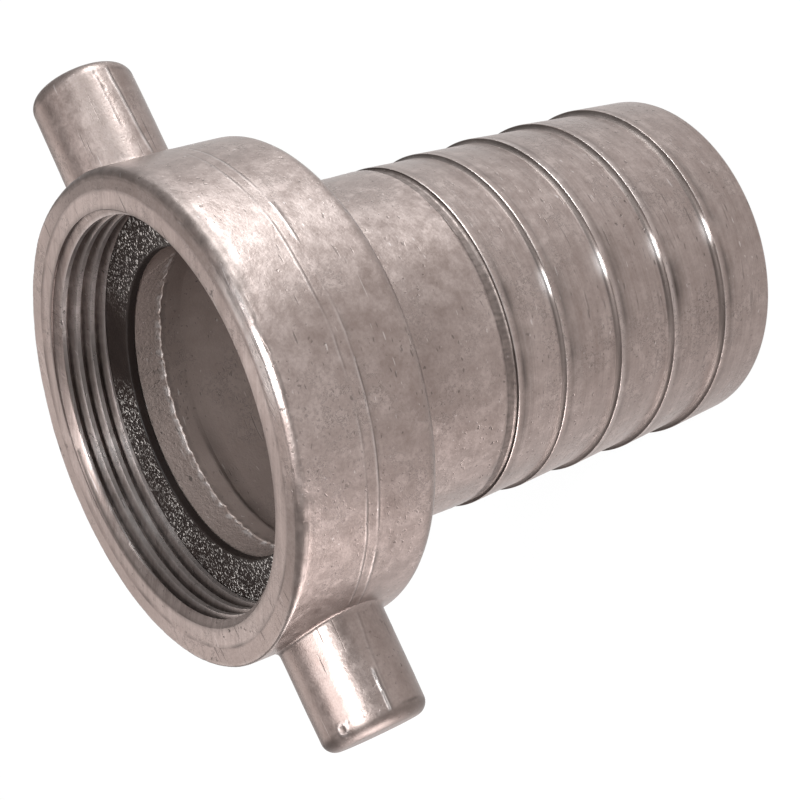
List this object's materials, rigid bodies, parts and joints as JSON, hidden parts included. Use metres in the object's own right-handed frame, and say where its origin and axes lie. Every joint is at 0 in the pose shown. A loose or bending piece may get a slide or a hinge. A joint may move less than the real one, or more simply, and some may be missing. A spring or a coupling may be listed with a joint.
{
  "type": "hose coupling",
  "caption": "Cap and tail hose coupling: a lugged swivel cap with an inside pipe thread on a barbed tail for suction or delivery hose.",
  "frame": {"origin": "middle of the tail's end face, at the bottom, where the coupling stands", "axes": "+Z along the coupling's axis, out of the cap's mouth; +X along the cap's lugs"},
  "size_m": [0.1012, 0.0698, 0.0913],
  "materials": {
    "tail_metal": "cast aluminium, turned over the barbs, fine ring marks and small pits",
    "cap_metal": "cast aluminium, tumbled, with parting lines and scratches, machined front face and thread",
    "rubber": "matt black, gritty"
  },
  "bodies": {
    "tail_body": {"tail": "tail_metal", "washer": "rubber"},
    "cap_body": {"cap": "cap_metal"}
  },
  "joints": [
    {"name": "cap_swivel", "type": "hinge", "parent": "tail_body", "child": "cap_body", "pos_m": [0, 0, 0.0803], "axis": [0, 0, 1], "continuous": true}
  ]
}
